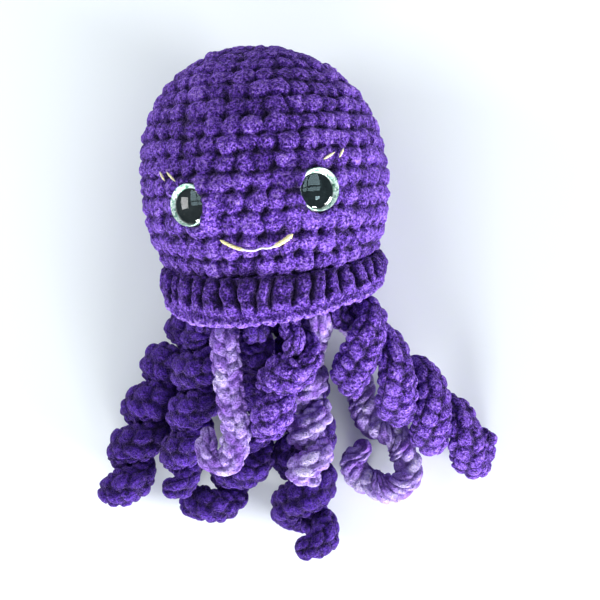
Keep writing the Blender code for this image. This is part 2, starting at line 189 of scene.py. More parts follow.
# Yarn is plumper than a CAD ribbon where it coils, by up to MOST_PLUMP each way.
# Two tentacles are at least this much plumper, however tight their coils are.
MOST_PLUMP = 3 * MM
LEAST_PLUMP = {"tentacle_right_loop": 3 * MM, "tentacle_middle_right": 2.2 * MM}


# ---- numbers ---------------------------------------------------------------

def scrambled(number):
    """A repeatable random value from 0 to 1 for each whole number."""
    h = np.asarray(number).astype(np.int64).astype(np.uint64)
    h = (h ^ (h >> np.uint64(16))) * np.uint64(0x45D9F3B)
    h = (h & np.uint64(0xFFFFFFFF))
    h = (h ^ (h >> np.uint64(16))) * np.uint64(0x45D9F3B)
    h = (h & np.uint64(0xFFFFFFFF))
    h = h ^ (h >> np.uint64(16))
    return (h & np.uint64(0xFFFFFF)).astype(float) / 0xFFFFFF


def noise(points, size, seed=0):
    """Smooth random values from -1 to 1, in lumps about size across."""
    turned_points = points @ np.array(Matrix.Rotation(0.7, 3, Vector((1, 2, 3))))
    cell = turned_points / size + 31.7 * (seed + 1)
    low = np.floor(cell)
    t = cell - low
    t = t * t * (3 - 2 * t)
    low = low.astype(np.int64)
    total = 0.0
    for dx in (0, 1):
        for dy in (0, 1):
            for dz in (0, 1):
                key = ((low[..., 0] + dx) * 73856093 + (low[..., 1] + dy) * 19349663
                       + (low[..., 2] + dz) * 83492791)
                share = ((t[..., 0] if dx else 1 - t[..., 0])
                         * (t[..., 1] if dy else 1 - t[..., 1])
                         * (t[..., 2] if dz else 1 - t[..., 2]))
                total = total + share * scrambled(key + seed * 7919)
    return total * 2 - 1


def around(count):
    """count angles once around, evenly spaced from 0."""
    return 2 * pi * np.arange(count) / count


def ease(share):
    """0 up to share 0, then a smooth rise to 1 at share 1."""
    share = np.clip(share, 0.0, 1.0)
    return share * share * (3 - 2 * share)


def bump(distance, width):
    """1 at distance 0, falling smoothly to 0 a few widths away."""
    return np.exp(-(distance / width) ** 2)


def cushion(across, power):
    """A flat-topped hump over -0.5 to 0.5."""
    return 1 - np.abs(2 * across) ** power


def pillow(a, b):
    """The dome of a stitch over -0.5 to 0.5 both ways: 1 in its middle, 0 at its corners."""
    return np.sqrt(np.clip(1 - 2 * (a ** 2 + b ** 2), 0, 1))


def spline(a, b, c, d, t):
    """The Catmull-Rom curve from b to c, at a share t of the way."""
    return 0.5 * (2 * b + (c - a) * t
                  + (2 * a - 5 * b + 4 * c - d) * t ** 2
                  + (3 * b - a - 3 * c + d) * t ** 3)


def running(steps):
    """The distance run at each point, from the steps between the points."""
    return np.concatenate([[0], np.cumsum(steps)])


def steps_of(line):
    return np.linalg.norm(np.diff(line, axis=0), axis=1)


def unit(vectors):
    return vectors / np.linalg.norm(vectors, axis=-1, keepdims=True)


def turned_and_moved(points, place):
    """World points from points in a frame's own coordinates."""
    return points @ np.array(place.to_3x3()).T + np.array(place.translation)


def in_frame(points, place):
    """The points in a frame's own coordinates."""
    back = np.array(place.inverted())
    return points @ back[:3, :3].T + back[:3, 3]


# ---- mesh tools ------------------------------------------------------------

def mesh_object(name, points, faces, slot, values=None):
    """A smooth closed mesh piece. values is a dict of one number per point for each name."""
    data = bpy.data.meshes.new(name)
    points = np.asarray(points, float)
    data.vertices.add(len(points))
    data.vertices.foreach_set("co", points.ravel())
    sizes = np.array([len(f) for f in faces])
    corners = np.fromiter((k for f in faces for k in f), np.int32, int(sizes.sum()))
    data.loops.add(len(corners))
    data.loops.foreach_set("vertex_index", corners)
    data.polygons.add(len(sizes))
    starts = np.concatenate([[0], np.cumsum(sizes)[:-1]])
    data.polygons.foreach_set("loop_start", starts.astype(np.int32))
    data.update(calc_edges=True)
    data.shade_smooth()
    for key, numbers in (values or {}).items():
        layer = data.attributes.new(key, "FLOAT", "POINT")
        layer.data.foreach_set("value", np.asarray(numbers, np.float32).ravel())
    data.materials.append(slot)
    made = bpy.data.objects.new(name, data)
    bpy.context.scene.collection.objects.link(made)
    return made


def facing_out(points, faces):
    """The faces of a closed mesh, turned over if they point inwards."""
    volume = 0.0
    for corners in ((0, 1, 2), (0, 2, 3)):
        triangles = np.array([[f[k] for k in corners] for f in faces if len(f) > corners[-1]])
        a, b, c = (points[triangles[:, k]] for k in range(3))
        volume += np.einsum("ij,ij->i", a, np.cross(b, c)).sum()
    return [f[::-1] for f in faces] if volume < 0 else faces


def quads(starts, columns):
    """The faces between rings of points, given each ring's first point."""
    turn = [(j, (j + 1) % columns) for j in range(columns)]
    return [(a + j, b + j, b + k, a + k) for a, b in zip(starts, starts[1:]) for j, k in turn]


def ball(name, grid, slot, values=None):
    """A closed piece from rows of rings, whose first and last rows are single points."""
    columns = grid.shape[1]
    points = np.concatenate([grid[0, :1], grid[1:-1].reshape(-1, 3), grid[-1, :1]])
    starts = range(1, len(points) - 1, columns)
    faces = []
    for j in range(columns):
        k = (j + 1) % columns
        faces.append((0, 1 + j, 1 + k))
        faces.append((len(points) - 1, starts[-1] + k, starts[-1] + j))
    faces += quads(starts, columns)
    packed = {}
    for key, numbers in (values or {}).items():
        packed[key] = np.concatenate([numbers[0, :1], numbers[1:-1].ravel(), numbers[-1, :1]])
    return mesh_object(name, points, facing_out(points, faces), slot, packed)


def torus(name, grid, slot, values=None):
    """A closed piece from rings whose last row joins the first."""
    columns = grid.shape[1]
    points = grid.reshape(-1, 3)
    faces = quads([*range(0, len(points), columns), 0], columns)
    packed = {key: numbers.ravel() for key, numbers in (values or {}).items()}
    return mesh_object(name, points, facing_out(points, faces), slot, packed)


def normals(grid, closed_rows=False):
    """Unit normals of a grid of points whose columns go round."""
    around = np.roll(grid, -1, 1) - np.roll(grid, 1, 1)
    if closed_rows:
        along = np.roll(grid, -1, 0) - np.roll(grid, 1, 0)
    else:
        along = np.empty_like(grid)
        along[1:-1] = grid[2:] - grid[:-2]
        along[0] = grid[1] - grid[0]
        along[-1] = grid[-1] - grid[-2]
    n = np.cross(around, along)
    length = np.linalg.norm(n, axis=-1, keepdims=True)
    n = n / np.maximum(length, 1e-12)
    if not closed_rows:
        for row, near in ((0, 1), (-1, -2)):
            n[row] = unit(n[near].mean(0))
    return n


def painted_shading_of(height, depth):
    """How deep each point lies between the stitches, used as painted shade: 0 on top, 1 at the given
    depth.
    """
    return np.clip((0.7 * MM - height) / depth, 0, 1)


def pile(points, amount):
    """The lumps of the chenille's pile."""
    return amount * (0.42 * noise(points, 3.4 * MM, 1) + 0.48 * noise(points, 2.0 * MM, 2)) * MM


# ---- the head --------------------------------------------------------------

def head_radius(level):
    level = np.asarray(level, float)
    reach = np.where(level > 0, CROWN_HEIGHT, SKIRT_DEPTH)
    power = np.where(level > 0, CROWN_POWER, SKIRT_POWER)
    inside = np.clip(1 - (np.abs(level) / reach) ** power, 0, None)
    return HEAD_RADIUS * inside ** (1 / power)


def settled(radius, level, angle):
    """World points of the head at an angle around it from the front, with the sag of
    its lower rounds and the lean of its crown. The arguments are numbers or arrays."""
    radius, level, angle = np.broadcast_arrays(radius, level, angle)
    sag = DROOP * ease((DROOP_START - level) / (DROOP_START - BASE_LEVEL))
    lean = CROWN_LEAN * np.clip(level / CROWN_HEIGHT, 0, None) ** 1.5
    front = radius * np.cos(angle)
    local = np.stack([radius * np.sin(angle) - lean, level - sag * front, front], -1)
    return turned_and_moved(local, HEAD)


def head_outline(count):
    """(radius, level, run) down the head from the crown, evenly spaced."""
    rising = np.linspace(0, pi / 2, 400)
    level = CROWN_HEIGHT * np.cos(rising) ** (2 / CROWN_POWER)
    level = np.concatenate([level, BASE_LEVEL * np.linspace(0, 1, 200)[1:]])
    radius = head_radius(level)
    run = running(np.hypot(np.diff(radius), np.diff(level)))
    even = np.linspace(0, run[-1], count)
    return np.interp(even, run, radius), np.interp(even, run, level), even


def eye_frame(side):
    angle = EYE_SPREAD if side == "right" else -EYE_SPREAD
    level = EYE_LEVEL[side]
    seat = float(head_radius(level)) + CLEARANCE
    return FACE @ Matrix.Rotation(angle, 4, "Y") @ Matrix.Translation((0, level, seat))


def round_stitches(run, angle, radius, round_height, seed=0):
    """Relief of single crochet worked in a spiral of rounds.

    run is the way down from the start of the spiral and radius the round's
    radius there. Returns the height, and a random value for each stitch.
    """
    whole = 2 * pi
    t = run / round_height - angle / whole
    rounds = np.arange(-1, int(np.ceil((run / round_height).max())) + 2)
    middle = np.interp((rounds + 0.5) * round_height, run[:, 0], radius[:, 0])
    counts = np.rint(np.minimum(whole * middle / STITCH_WIDTH, EQUATOR_STITCHES))
    counts = np.maximum(np.minimum(counts, 6 * (rounds + 1.5)), 5) + STITCH_DRIFT
    offsets = running(counts[:-1])

    def phase(index):
        k = np.clip(index + 1, 0, len(rounds) - 1).astype(int)
        return counts[k] * angle / whole + offsets[k], whole * radius / counts[k]

    row = np.floor(t)
    b = t - row
    p, width = phase(row)
    number = np.floor(p)
    a = p - number
    side = width * np.minimum(a, 1 - a)
    end = round_height * np.minimum(b, 1 - b)
    luck = scrambled(number + 977 * seed)
    row_gap = bump(end, ROW_GAP)
    column_gap = bump(side, COLUMN_GAP)
    near = np.rint(t)
    p_above, width_above = phase(near - 1)
    a_above = p_above - np.floor(p_above)
    side_above = width_above * np.minimum(a_above, 1 - a_above)
    below = (t - near) * round_height
    reach = np.where(below < 0, 2.2, 1.1) * MM
    hole = scrambled(np.rint(p_above) + 31 * near + 977 * seed + 7)
    pit = (0.35 + 0.9 * hole) * bump(side_above, 1.8 * MM) * bump(below, reach)
    shift = 0.26 * (scrambled(number + 977 * seed + 3301) - 0.5)
    lean = 0.22 * (b - 0.5)
    height = (
        2.9 * (0.74 + 0.52 * luck) * pillow(a - 0.5 + shift + lean, b - 0.5)
        - 2.15
        - 0.5 * row_gap
        - 0.25 * column_gap
        - 1.3 * pit
    ) * MM
    return height, scrambled(number + 977 * seed + 50021)


def build_head_cover(yarn):
    columns, outer_rows, inner_rows = 420, 208, 26
    radius, level, run = head_outline(outer_rows)
    angle = around(columns)
    angle, radius = np.meshgrid(angle, radius)
    level, run = (np.repeat(v[:, None], columns, 1) for v in (level, run))
    smooth = settled(radius, level, angle)
    smooth[..., 2] = np.maximum(smooth[..., 2], 0)
    out = normals(smooth)
    waist = smooth[outer_rows // 2]
    if (out[outer_rows // 2] * (waist - waist.mean(0))).sum() < 0:
        out = -out
    wander = 0.9 * MM * noise(smooth, 15 * MM, 5) + 1.3 * MM * noise(smooth, 5.5 * MM, 7)
    swing = 1.0 * MM * noise(smooth, 13 * MM, 6) + 1.3 * MM * noise(smooth, 5 * MM, 8)
    swing = swing / np.maximum(radius, 8 * MM)
    height, luck = round_stitches(
        run + wander, np.clip(angle + swing, 0, 2 * pi), radius, run[-1, 0] / ROUNDS
    )
    # painted shade: the head's colour darkens between its stitches
    painted_shading = painted_shading_of(height, 3.1 * MM)
    height = height + pile(smooth, 1.25)
    height = height + 0.5 * MM * noise(smooth, 24 * MM, 9)
    overlap = np.zeros_like(smooth)
    for side in EYE_LEVEL:
        local = in_frame(smooth, eye_frame(side))
        away = np.hypot(local[..., 0], local[..., 1])
        outside = local[..., 2] > -30 * MM
        under = outside * ease((EYE_RADIUS + 1.6 * MM - away) / (2.2 * MM))
        lip = outside * bump(away - EYE_RADIUS - 3.0 * MM, 2.2 * MM)
        nose_side = local[..., 0] * (1 if side == "left" else -1) / np.maximum(away, 1 * MM)
        beyond = away - EYE_RADIUS - 1.0 * MM
        crest = bump(beyond, np.where(beyond < 0, 1.5, 3.2) * MM)
        fold = outside * crest * ease(nose_side * 1.4 - 0.2)
        inwards = unit(np.array(eye_frame(side).translation) - smooth)
        overlap = overlap + inwards * (2.0 * MM * fold)[..., None]
        height = height * (1 - under) * (1 - 0.6 * fold)
        height = height - 1.9 * MM * under + 1.1 * MM * lip + 6.0 * MM * fold
    away = distance_to(smooth, mouth_line(60, 0))
    height = height - 0.9 * MM * bump(away, 1.6 * MM)
    knit = smooth + out * height[..., None] + overlap
    knit[..., 2] = np.maximum(knit[..., 2], 0)
    inner_radius, inner_level, _ = head_outline(inner_rows)
    shrink = 1 - FABRIC / HEAD_RADIUS
    inner = settled(
        np.repeat(inner_radius[::-1, None], columns, 1) * shrink,
        np.repeat(inner_level[::-1, None], columns, 1)
        * np.where(inner_level[::-1, None] > 0, shrink, 1),
        np.repeat(angle[:1], inner_rows, 0),
    )
    inner[..., 2] = np.maximum(inner[..., 2], FABRIC)
    grid = np.concatenate([knit, inner])
    edge = np.ones((inner_rows, columns))
    piece = ball("head_crochet", grid, yarn, {
        "painted_shading": np.concatenate([painted_shading, edge]),
        "stitch": np.concatenate([luck, edge * 0.5]),
    })
    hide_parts("head_cover")
    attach(piece, "head")


def build_stuffing(fibre):
    columns, rows = 120, 80
    gap = FABRIC + 1.6 * MM
    radius, level, _ = head_outline(rows)
    angle = around(columns)
    angle, radius = np.meshgrid(angle, radius)
    level = np.repeat(level[:, None], columns, 1)
    top = 1 - gap / CROWN_HEIGHT
    shrink = 1 - gap / HEAD_RADIUS
    grid = settled(radius * shrink, np.where(level > 0, level * top, level * 0.98), angle)
    grid[..., 2] = np.maximum(grid[..., 2], gap)
    centre = grid.mean((0, 1))
    lumps = 0
    for amount, size, seed in ((1.6, 17, 21), (0.8, 7, 22), (0.3, 3, 23)):
        lumps = lumps + amount * (1 + noise(grid, size * MM, seed))
    grid = grid + unit(centre - grid) * (lumps * 0.5 * MM)[..., None]
    for side in EYE_LEVEL:
        place = eye_frame(side)
        local = in_frame(grid, place)
        away = np.hypot(local[..., 0], local[..., 1])
        wanted = -(POST_LENGTH + 2 * MM)
        in_the_way = (local[..., 2] > wanted) * (local[..., 2] > -40 * MM)
        dent = ease((WASHER_RADIUS + 3.5 * MM - away) / (2.5 * MM)) * in_the_way
        move = (wanted - local[..., 2]) * dent
        grid = grid + np.array(place.to_3x3() @ Vector((0, 0, 1))) * move[..., None]
    piece = ball("stuffing_fill", grid, fibre)
    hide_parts("fibre_stuffing")
    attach(piece, "head")


def build_disc(yarn):
    columns, face_rows, side_rows = 260, 70, 10
    top = BASE_LEVEL - CLEARANCE
    edge = DISC_THICKNESS / 2
    centre_line = top - edge
    reach = np.linspace(0, DISC_RADIUS - edge, face_rows)
    turn = np.linspace(0, pi, side_rows + 2)[1:-1]
    radius = np.concatenate([reach, DISC_RADIUS - edge + edge * np.sin(turn), reach[::-1]])
    level = np.concatenate([
        np.full(face_rows, top),
        centre_line + edge * np.cos(turn),
        np.full(face_rows, top - DISC_THICKNESS),
    ])
    run = running(np.hypot(np.diff(radius), np.diff(level)))
    half = run[-1] / 2
    run = np.minimum(run, 2 * half - run)
    angle, radius_grid = np.meshgrid(around(columns), radius)
    level, run = (np.repeat(v[:, None], columns, 1) for v in (level, run))
    smooth = settled(radius_grid, level, angle)
    out = normals(smooth)
    if out[face_rows // 2, 0] @ HEAD_UP < 0:
        out = -out
    halves = []
    count = face_rows + side_rows // 2
    for rows in (slice(0, count), slice(count, None)):
        flip = slice(None) if rows.start == 0 else slice(None, None, -1)
        h, luck = round_stitches(
            run[rows][flip], angle[rows], radius_grid[rows][flip], DISC_ROUND, 3
        )
        halves.append((h[flip], luck[flip]))
    height = np.concatenate([h for h, _ in halves])
    luck = np.concatenate([v for _, v in halves])
    # painted shade: the base's colour darkens between its stitches
    painted_shading = painted_shading_of(height, 3.1 * MM)
    height = np.minimum(height * 0.7 + pile(smooth, 0.8), 0.9 * MM)
    grid = smooth + out * height[..., None]
    piece = ball("base_crochet", grid, yarn, {"painted_shading": painted_shading, "stitch": luck})
    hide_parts("base_disc")
    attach(piece, "head")


def brim_edge(angle):
    around = angle - BRIM_LOW_SIDE
    return -(BRIM_BOTTOM + BRIM_WAVE * (np.cos(around) + 0.6 * np.cos(2 * around)))


def brim_section(q, angle):
    """(radius, level) of the brim's closed section at a place q around it.

    A whole q is one of the ten corners: 0 at the top, 1 to 3 down the outside,
    4 to 7 round the rolled edge, and 8 and 9 up the inside.
    """
    edge = brim_edge(angle)
    flat = np.zeros_like(edge)
    corners = [
        (52.9 * MM, BRIM_TOP + flat),
        (54.5 * MM, BRIM_TOP + 0.2 * MM + flat),
        (56.8 * MM, BRIM_TOP - 4 * MM + flat),
        (BRIM_OUTER_RADIUS, (BRIM_TOP + edge) / 2),
        (56.5 * MM, edge + 2.5 * MM),
        (54 * MM, edge),
        (51.5 * MM, edge),
        (BRIM_INNER_RADIUS, edge + 2.5 * MM),
        (BRIM_INNER_RADIUS + 0.4 * MM, -50 * MM + flat),
        (50.8 * MM, -45.5 * MM + flat),
    ]
    radii = np.stack([np.full_like(edge, radius) for radius, _ in corners])
    levels = np.stack([level for _, level in corners])
    i = np.floor(q).astype(int)
    t = (q - i)[:, None]

    def curve(values):
        return spline(*(values[(i + k) % len(corners)] for k in (-1, 0, 1, 2)), t)

    return curve(radii), curve(levels)


def build_brim(yarn):
    """Upright ribs down the outside, shorter ones inside, and a rolled, scalloped edge."""
    columns, rows = 900, 96
    dense = np.linspace(0, 10, 801)
    closed = [np.append(v, v[0]) for v in brim_section(dense[:-1], np.array([0.0]))]
    run = running(np.hypot(np.diff(closed[0]), np.diff(closed[1])))
    q = np.interp(np.linspace(0, run[-1], rows + 1)[:-1], run, dense)
    angle = around(columns)
    radius, level = brim_section(q, angle)
    angle = np.repeat(angle[None], rows, 0)
    smooth = settled(radius, level, angle)
    smooth[..., 2] = np.maximum(smooth[..., 2], 0)
    out = normals(smooth, closed_rows=True)
    middle = smooth.mean(0, keepdims=True)
    if (out * (smooth - middle)).sum() < 0:
        out = -out
    q = np.repeat(q[:, None], columns, 1)
    width = 2 * pi * BRIM_OUTER_RADIUS / RIBS
    lean = 0.28 * noise(smooth, 16 * MM, 31) + 0.18 * noise(smooth, 7 * MM, 33)
    p = RIBS * angle / (2 * pi) + lean
    number = np.floor(p)
    a = p - number
    luck = scrambled(number % RIBS + 300)
    edge_of_rib = np.minimum(a, 1 - a)
    gap = bump(width * edge_of_rib, RIB_GAP)
    on_outside = ease((q - 0.5) / 0.8) * ease((3.3 + 0.35 * luck - q) / 0.5)
    on_inside = ease((q - 6.6) / 0.5) * ease((9.6 - q) / 0.5)
    ribbed = on_outside + 0.6 * on_inside
    plump = np.sqrt(np.clip(1 - (2 * a - 1) ** 2, 0, 1))
    waist = bump(q - 2.4 - 0.6 * luck, 0.25)
    height = ribbed * ((3.0 + 1.4 * luck) * plump - 2.4 - 1.7 * gap - 0.5 * waist) * MM
    # painted shade: darker in the gaps between ribs, at their waist and along the top of the brim
    # under the head
    top_shade = ease((1.9 - q) / 1.2) * on_outside
    painted_shading = 0.22 + np.clip(ribbed * (0.62 * gap + 0.25 * waist) + 0.5 * top_shade, 0, 0.78)
    s = (SCALLOPS * angle / (2 * pi) + 0.8 * lean) % 1
    rolled = bump(q - 4.55, 0.85)
    lump = np.sqrt(np.clip(1 - (2 * s - 1) ** 2, 0, 1))
    height += rolled * (1.9 * lump - 0.7) * MM
    from_groove = q - 3.6 - 0.3 * luck
    height -= 0.9 * MM * bump(from_groove, 0.2)
    # painted shade in the groove under the ribs, and a painted highlight on the rolled edge, where
    # the shading goes below 0 and the yarn is paler
    painted_shading = painted_shading + 0.25 * bump(from_groove, 0.22) - rolled * (0.05 + 0.42 * lump)
    painted_shading = np.clip(painted_shading, -0.35, 1)
    height += (pile(smooth, 1.3) + 0.5 * MM * noise(smooth, 5 * MM, 35)
               + 0.4 * MM * noise(smooth, 11 * MM, 34))
    grid = smooth + out * height[..., None]
    grid[..., 2] = np.maximum(grid[..., 2], 0)
    piece = torus("brim_crochet", grid, yarn, {"painted_shading": painted_shading, "stitch": luck})
    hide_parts("brim_ruffle")
    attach(piece, "head")


def build_seam(yarn):
    """Whip stitches that close the head onto its base."""
    wraps, per_wrap, sides = 46, 14, 8
    count = wraps * per_wrap
    share = np.arange(count) / count
    angle = 2 * pi * share
    wrap = 2 * pi * wraps * share
    radius = 45.8 * MM + 0.55 * MM * np.cos(wrap)
    level = BASE_LEVEL + 1.2 * MM + 0.55 * MM * np.sin(wrap)
    line = settled(radius, level, angle)
    piece = yarn_loop("seam_stitches", line, 0.6 * MM, sides, yarn)
    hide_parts("closing_yarn")
    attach(piece, "head")


def yarn_loop(name, line, thickness, sides, slot):
    """Round yarn along a closed line."""
    along = unit(np.roll(line, -1, 0) - np.roll(line, 1, 0))
    side = unit(np.cross(along, HEAD_UP))
    other = np.cross(along, side)
    turn = around(sides)[:, None]
    ring = side[:, None] * np.cos(turn) + other[:, None] * np.sin(turn)
    return torus(name, line[:, None] + thickness * ring, slot)


# ---- the face --------------------------------------------------------------

def turned(name, profile, place, steps, slot, ring=False, shift=(0, 0), share=0):
    """A profile of (radius, height) turned about the frame's Z axis, as a ring or a
    solid, with each of its points moved sideways by its share of shift."""
    profile = np.array(profile)
    angle = around(steps)
    local = np.stack([
        profile[:, :1] * np.cos(angle),
        profile[:, :1] * np.sin(angle),
        np.repeat(profile[:, 1:], steps, 1),
    ], -1)
    local[..., :2] += (np.zeros(len(profile)) + share)[:, None, None] * np.array(shift)
    return (torus if ring else ball)(name, turned_and_moved(local, place), slot)


def arc(centre, radii, start, end, count):
    """Points of an elliptical arc in a profile, angles in degrees."""
    angles = np.radians(np.linspace(start, end, count))
    return [(centre[0] + radii[0] * cos(a), centre[1] + radii[1] * sin(a)) for a in angles]


def build_eye(side, slots):
    """The four parts of a safety eye: rim and shank, glitter ring, dark dome and lens."""
    place = eye_frame(side)
    flange_top = 1.1 * MM
    edge = EYE_RADIUS - 0.1 * MM
    back = [(0, -POST_LENGTH - 0.3 * MM), (1.6 * MM, -POST_LENGTH - 0.3 * MM)]
    for barb in range(5):
        z = -POST_LENGTH + 2.4 * MM * barb
        back += [(POST_RADIUS - 0.5 * MM, z), (POST_RADIUS, z + 0.5 * MM), (POST_RADIUS, z + 1 * MM)]
    back += [(POST_RADIUS, 0.1 * MM), (edge, 0.1 * MM)]
    back += arc((edge, 0.6 * MM), (0.5 * MM, 0.5 * MM), -90, 90, 9)
    back += [(EYE_RADIUS - 0.5 * MM, flange_top), (0, flange_top)]
    rim = turned(f"eye_rim_{side}", back, place, 72, slots["black"])

    low, high = flange_top + 0.1 * MM, flange_top + 2.4 * MM
    inner, outer = PUPIL_RADIUS + 0.2 * MM, EYE_RADIUS - 0.15 * MM
    squint = (1.3 * MM if side == "left" else -1.3 * MM, -0.6 * MM)
    iris = [(inner, low), (outer, low), (outer, high), (outer - 0.4 * MM, high),
            (inner + 0.2 * MM, low + 0.5 * MM)]
    ring = turned(f"eye_glitter_{side}", iris, place, 96, slots["glitter"], True, squint,
                  (1, 0, 0, 0, 1))

    pupil = [(0, low), (inner - 0.25 * MM, low), (inner - 0.1 * MM, low + 0.15 * MM)]
    pupil += arc((0, low + 0.2 * MM), (inner - 0.1 * MM, 0.8 * MM), 0, 90, 16)
    pupil[-1] = (0, low + 1.0 * MM)
    dark = turned(f"eye_dark_{side}", pupil, place, 72, slots["pupil"], shift=squint, share=1)

    base = flange_top + 1 * MM
    floor = flange_top + 0.04 * MM
    lens = [(0, floor), (EYE_RADIUS - 0.1 * MM, floor), (EYE_RADIUS, flange_top + 0.2 * MM)]
    lens += arc((0, base + 0.5 * MM), (EYE_RADIUS, 4.7 * MM), 0, 90, 28)
    lens[-1] = (0, base + 5.2 * MM)
    dome = turned(f"eye_dome_{side}", lens, place, 96, slots["clear"])
    dome.visible_shadow = False
    dome.visible_diffuse = False
    for piece, node, slot in (
        (rim, "eye_back_", "black_plastic"),
        (ring, "eye_iris_", "mint_glitter"),
        (dark, "eye_pupil_", "black_plastic"),
        (dome, "eye_lens_", "clear_plastic"),
    ):
        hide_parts(node + side)
        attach(piece, "head")


def on_face(angle, level, lift):
    """World points at a lift off the head, with angles from the middle of the face."""
    level = np.asarray(level, float)
    return settled(head_radius(level) + lift, level, np.asarray(angle) + FACE_TURN)


def mouth_line(count, lift):
    share = np.linspace(-1, 1, count)
    level = MOUTH_END_LEVEL - MOUTH_DROP * (1 - share ** 2)
    return on_face(MOUTH_HALF_ANGLE * share, level, lift)


def distance_to(points, line):
    """How far each point is from the nearest point of the line."""
    best = np.full(points.shape[:-1], 1.0)
    for spot in line:
        best = np.minimum(best, np.linalg.norm(points - spot, axis=-1))
    return best


def floss(name, line, radii, slot, pale, twist=2.2 * MM, sides=24):
    """A twisted thread along the line, with a radius and a paleness for each of its points."""
    plies = 3
    run = running(steps_of(line))
    side = np.array([0.0, 0.0, 1.0])
    rings = []
    turn = around(sides)
    for i, along in enumerate(unit(np.gradient(line, axis=0))):
        side = side - along * (side @ along)
        side /= np.linalg.norm(side)
        other = np.cross(along, side)
        lobes = np.abs(np.cos(0.5 * plies * (turn + 2 * pi * run[i] / twist / plies)))
        reach = radii[i] * (0.80 + 0.2 * lobes)
        rings.append(line[i] + side * (reach * np.cos(turn))[:, None]
                     + other * (reach * np.sin(turn))[:, None])
    grid = np.stack([np.repeat(line[:1], sides, 0), *rings, np.repeat(line[-1:], sides, 0)])
    pale = np.repeat(np.concatenate([pale[:1], pale, pale[-1:]])[:, None], sides, 1)
    return ball(name, grid, slot, {"pale": pale})


def build_mouth(slots):
    count = 150
    lift = FLOSS_RADIUS + CLEARANCE + 0.15 * MM
    line = mouth_line(count, lift)
    share = np.linspace(-1, 1, count)
    ends = ease((np.abs(share - 0.05) - 0.38) / 0.14)
    line = line + HEAD_UP * (0.9 * MM * bump(share - 0.12, 0.14))[:, None]
    thick = FLOSS_RADIUS * (0.5 + (0.62 + 0.25 * share) * ends)
    thick = thick * (0.35 + 0.65 * ease((1 - np.abs(share)) / 0.08))
    piece = floss("smile_floss", line, thick, slots["floss"], 1 - ends)
    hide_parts("mouth_floss")
    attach(piece, "head")


def build_lashes(slots):
    count = 40
    lift = FLOSS_RADIUS + CLEARANCE + 0.1 * MM
    for side, sign in (("left", -1), ("right", 1)):
        for number, (near, far, low, high) in enumerate(LASHES[side], 1):
            share = np.linspace(0, 1, count)
            level = EYE_LEVEL[side] + (low + (high - low) * share) * MM
            angle = np.radians(near + (far - near) * share)
            line = on_face(sign * angle, level, lift)
            thick = 0.6 * MM * (0.35 + 0.65 * ease(np.minimum(share, 1 - share) / 0.3))
            piece = floss(f"lash_floss_{side}_{number}", line, thick, slots["floss"],
                          np.full(count, 0.2), twist=1.8 * MM, sides=16)
            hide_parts(f"lash_{side}_{number}")
            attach(piece, "head")


# ---- the tentacles ---------------------------------------------------------

def root_point(angle_degrees, drop=ROOT_BEAD + CLEARANCE):
    """A point of the root ring, drop below the underside of the base disc."""
    level = BASE_LEVEL - CLEARANCE - DISC_THICKNESS - drop
    return settled(ROOT_RING, level, radians(angle_degrees))


def smooth_route(places, per_span=40):
    """A curve through the places, as closely spaced points (Catmull-Rom)."""
    ends = [places[0] * 2 - places[1], *places, places[-1] * 2 - places[-2]]
    t = (np.arange(per_span) / per_span)[:, None]
    line = []
    for corners in zip(ends, ends[1:], ends[2:], ends[3:]):
        line.append(spline(*corners, t))
    line.append(places[-1][None])
    return np.concatenate(line)


def evenly(line, count):
    """count points at equal distances along the line, and the line's length."""
    run = running(steps_of(line))
    want = np.linspace(0, run[-1], count)
    return np.stack([np.interp(want, run, line[:, k]) for k in range(3)], 1), run[-1]


def coil_line(plan, count):
    """The ribbon's middle line, its outward direction and the coil's radius, at count stations."""
    start = plan["start"]
    places = [root_point(start), root_point(start, ROOT_BEAD + ROOT_STRAIGHT)]
    places += [np.array(p) * MM for p in plan["route"]]
    axis, length = evenly(smooth_route(places), count)
    lead = plan["lead"] * MM
    first, last = plan["coil"]
    side = np.array([0.0, 0.0, 1.0])
    middle, outward, reach = [], [], []
    for i, place in enumerate(axis):
        along = axis[min(i + 1, count - 1)] - axis[max(i - 1, 0)]
        along /= np.linalg.norm(along)
        side = side - along * (side @ along)
        side /= np.linalg.norm(side)
        other = np.cross(along, side)
        run = length * i / (count - 1)
        share = max(0.0, (run - lead) / (length - lead))
        angle = radians(plan["phase"]) + 2 * pi * plan["turns"] * share
        out = side * cos(angle) + other * sin(angle)
        radius = last + (first - last) * (1 - share) ** plan.get("fade", 1)
        radius = radius * ease((run - lead) / (14 * MM)) * MM
        middle.append(place + out * radius + along * (plan.get("slant", 0) * radius * sin(angle)))
        outward.append(out)
        reach.append(radius)
    return np.array(middle), np.array(outward), np.array(reach)


